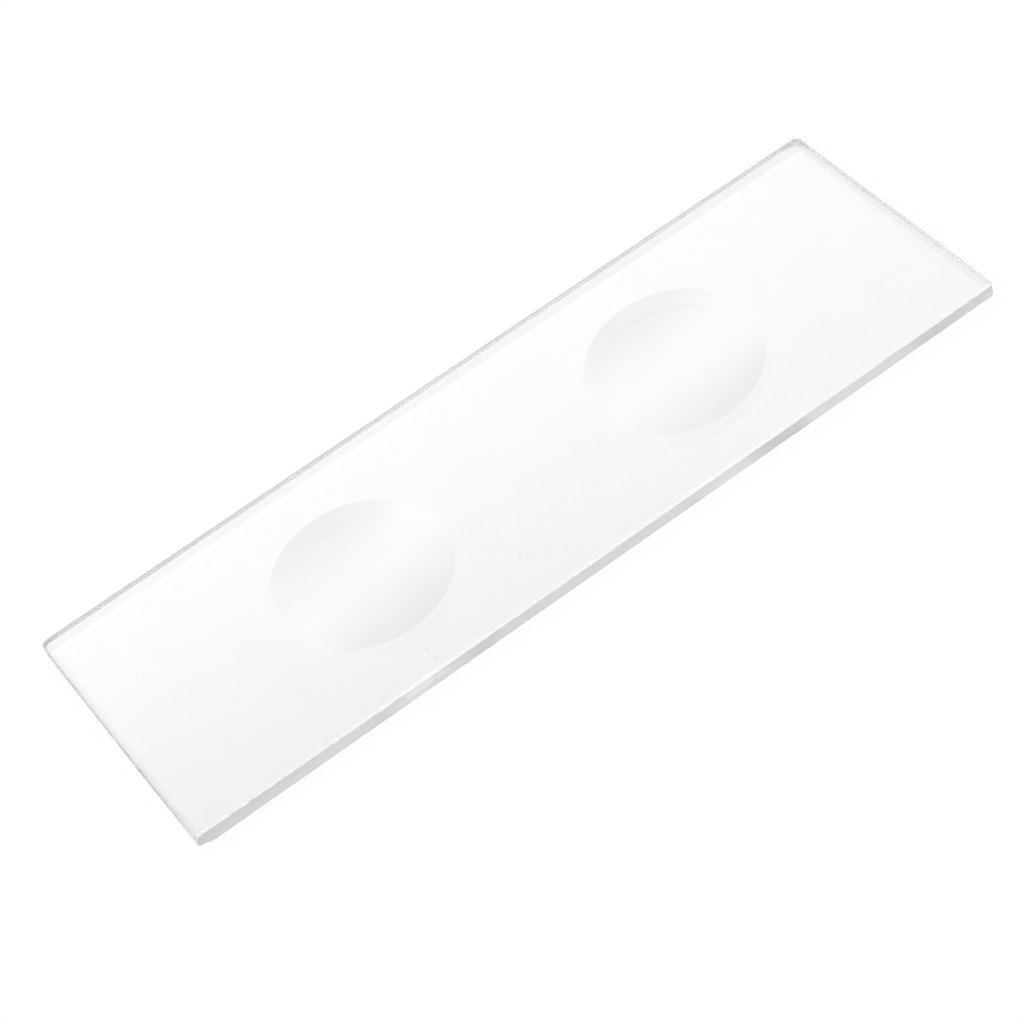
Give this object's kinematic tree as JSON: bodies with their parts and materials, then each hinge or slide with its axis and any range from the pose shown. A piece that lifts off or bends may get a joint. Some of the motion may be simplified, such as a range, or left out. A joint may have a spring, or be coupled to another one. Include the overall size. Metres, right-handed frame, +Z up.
{
  "type": "microscope slide",
  "caption": "Clear glass microscope slide: a thin rectangular plate with ground edges and shallow round concave wells in its top face, one chipped corner.",
  "frame": {"origin": "under the middle of the plate, on the surface that it lies on", "axes": "+X along the slide's length, +Y across it to the back long edge, +Z up out of the face that holds the wells"},
  "size_m": [0.075, 0.025, 0.0014],
  "materials": {
    "glass": "clear polished soda-lime glass with finely ground edges and arrises"
  },
  "bodies": {
    "root": {"glass_slide": "glass"}
  },
  "joints": []
}
